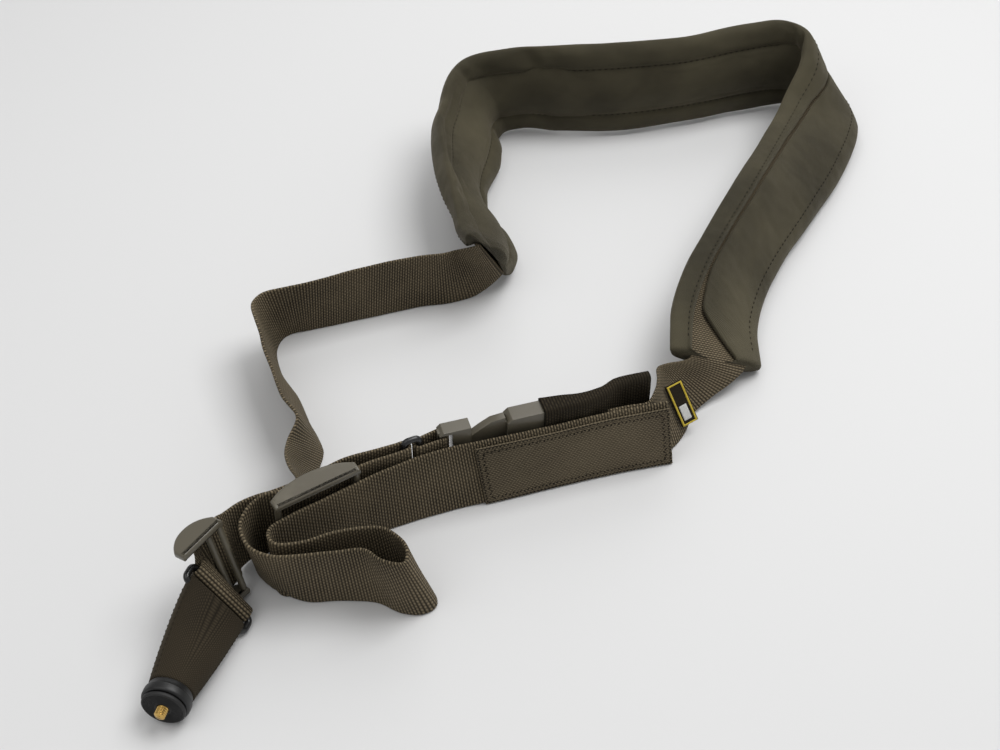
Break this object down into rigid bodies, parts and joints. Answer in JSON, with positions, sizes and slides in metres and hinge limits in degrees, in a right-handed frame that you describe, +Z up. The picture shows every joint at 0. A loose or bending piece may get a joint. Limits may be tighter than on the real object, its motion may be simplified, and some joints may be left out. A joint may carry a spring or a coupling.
{
  "type": "camera shoulder strap",
  "caption": "Padded webbing sling for a camera, laid down as an open loop, with a sleeve pad, a side-release buckle, strap adjusters and a puck with a screw stud for the camera.",
  "frame": {"origin": "on the floor under the middle of the strap's bounding box, as it lies in its open loop", "axes": "+X to the right along the label strap, +Y to the back where the shoulder pad lies, +Z up from the floor"},
  "size_m": [0.4786, 0.5932, 0.0839],
  "materials": {
    "webbing": "ribbed olive-brown woven webbing",
    "pad_fabric": "matte olive twill shell over soft padding",
    "elastic": "ribbed dark brown elastic",
    "label": "flat woven label with zigzag-sewn edges",
    "tag": "dark woven tag with a yellow border",
    "plastic": "satin grey-olive moulded plastic",
    "black_metal": "black painted wire",
    "sleeve_fabric": "dark brown woven sleeve",
    "puck_plastic": "glossy black",
    "seat_rubber": "ribbed black rubber",
    "brass": "machined"
  },
  "bodies": {
    "root": {"long_adjuster": "plastic", "buckle_ring": "black_metal", "front_webbing": "webbing", "front_webbing_folds": "webbing", "short_adjuster": "plastic", "connector_ring": "black_metal", "shoulder_pad": "pad_fabric", "shoulder_webbing_loop": "webbing", "shoulder_webbing_left": "webbing", "shoulder_webbing_right": "webbing", "label_patch": "label", "buckle_socket": "plastic", "buckle_plug": "plastic", "buckle_tab": "webbing", "elastic_keeper": "elastic", "side_tag": "tag", "connector_sleeve": "sleeve_fabric", "puck_body": "puck_plastic", "puck_seat": "seat_rubber", "camera_stud": "brass"}
  },
  "joints": []
}
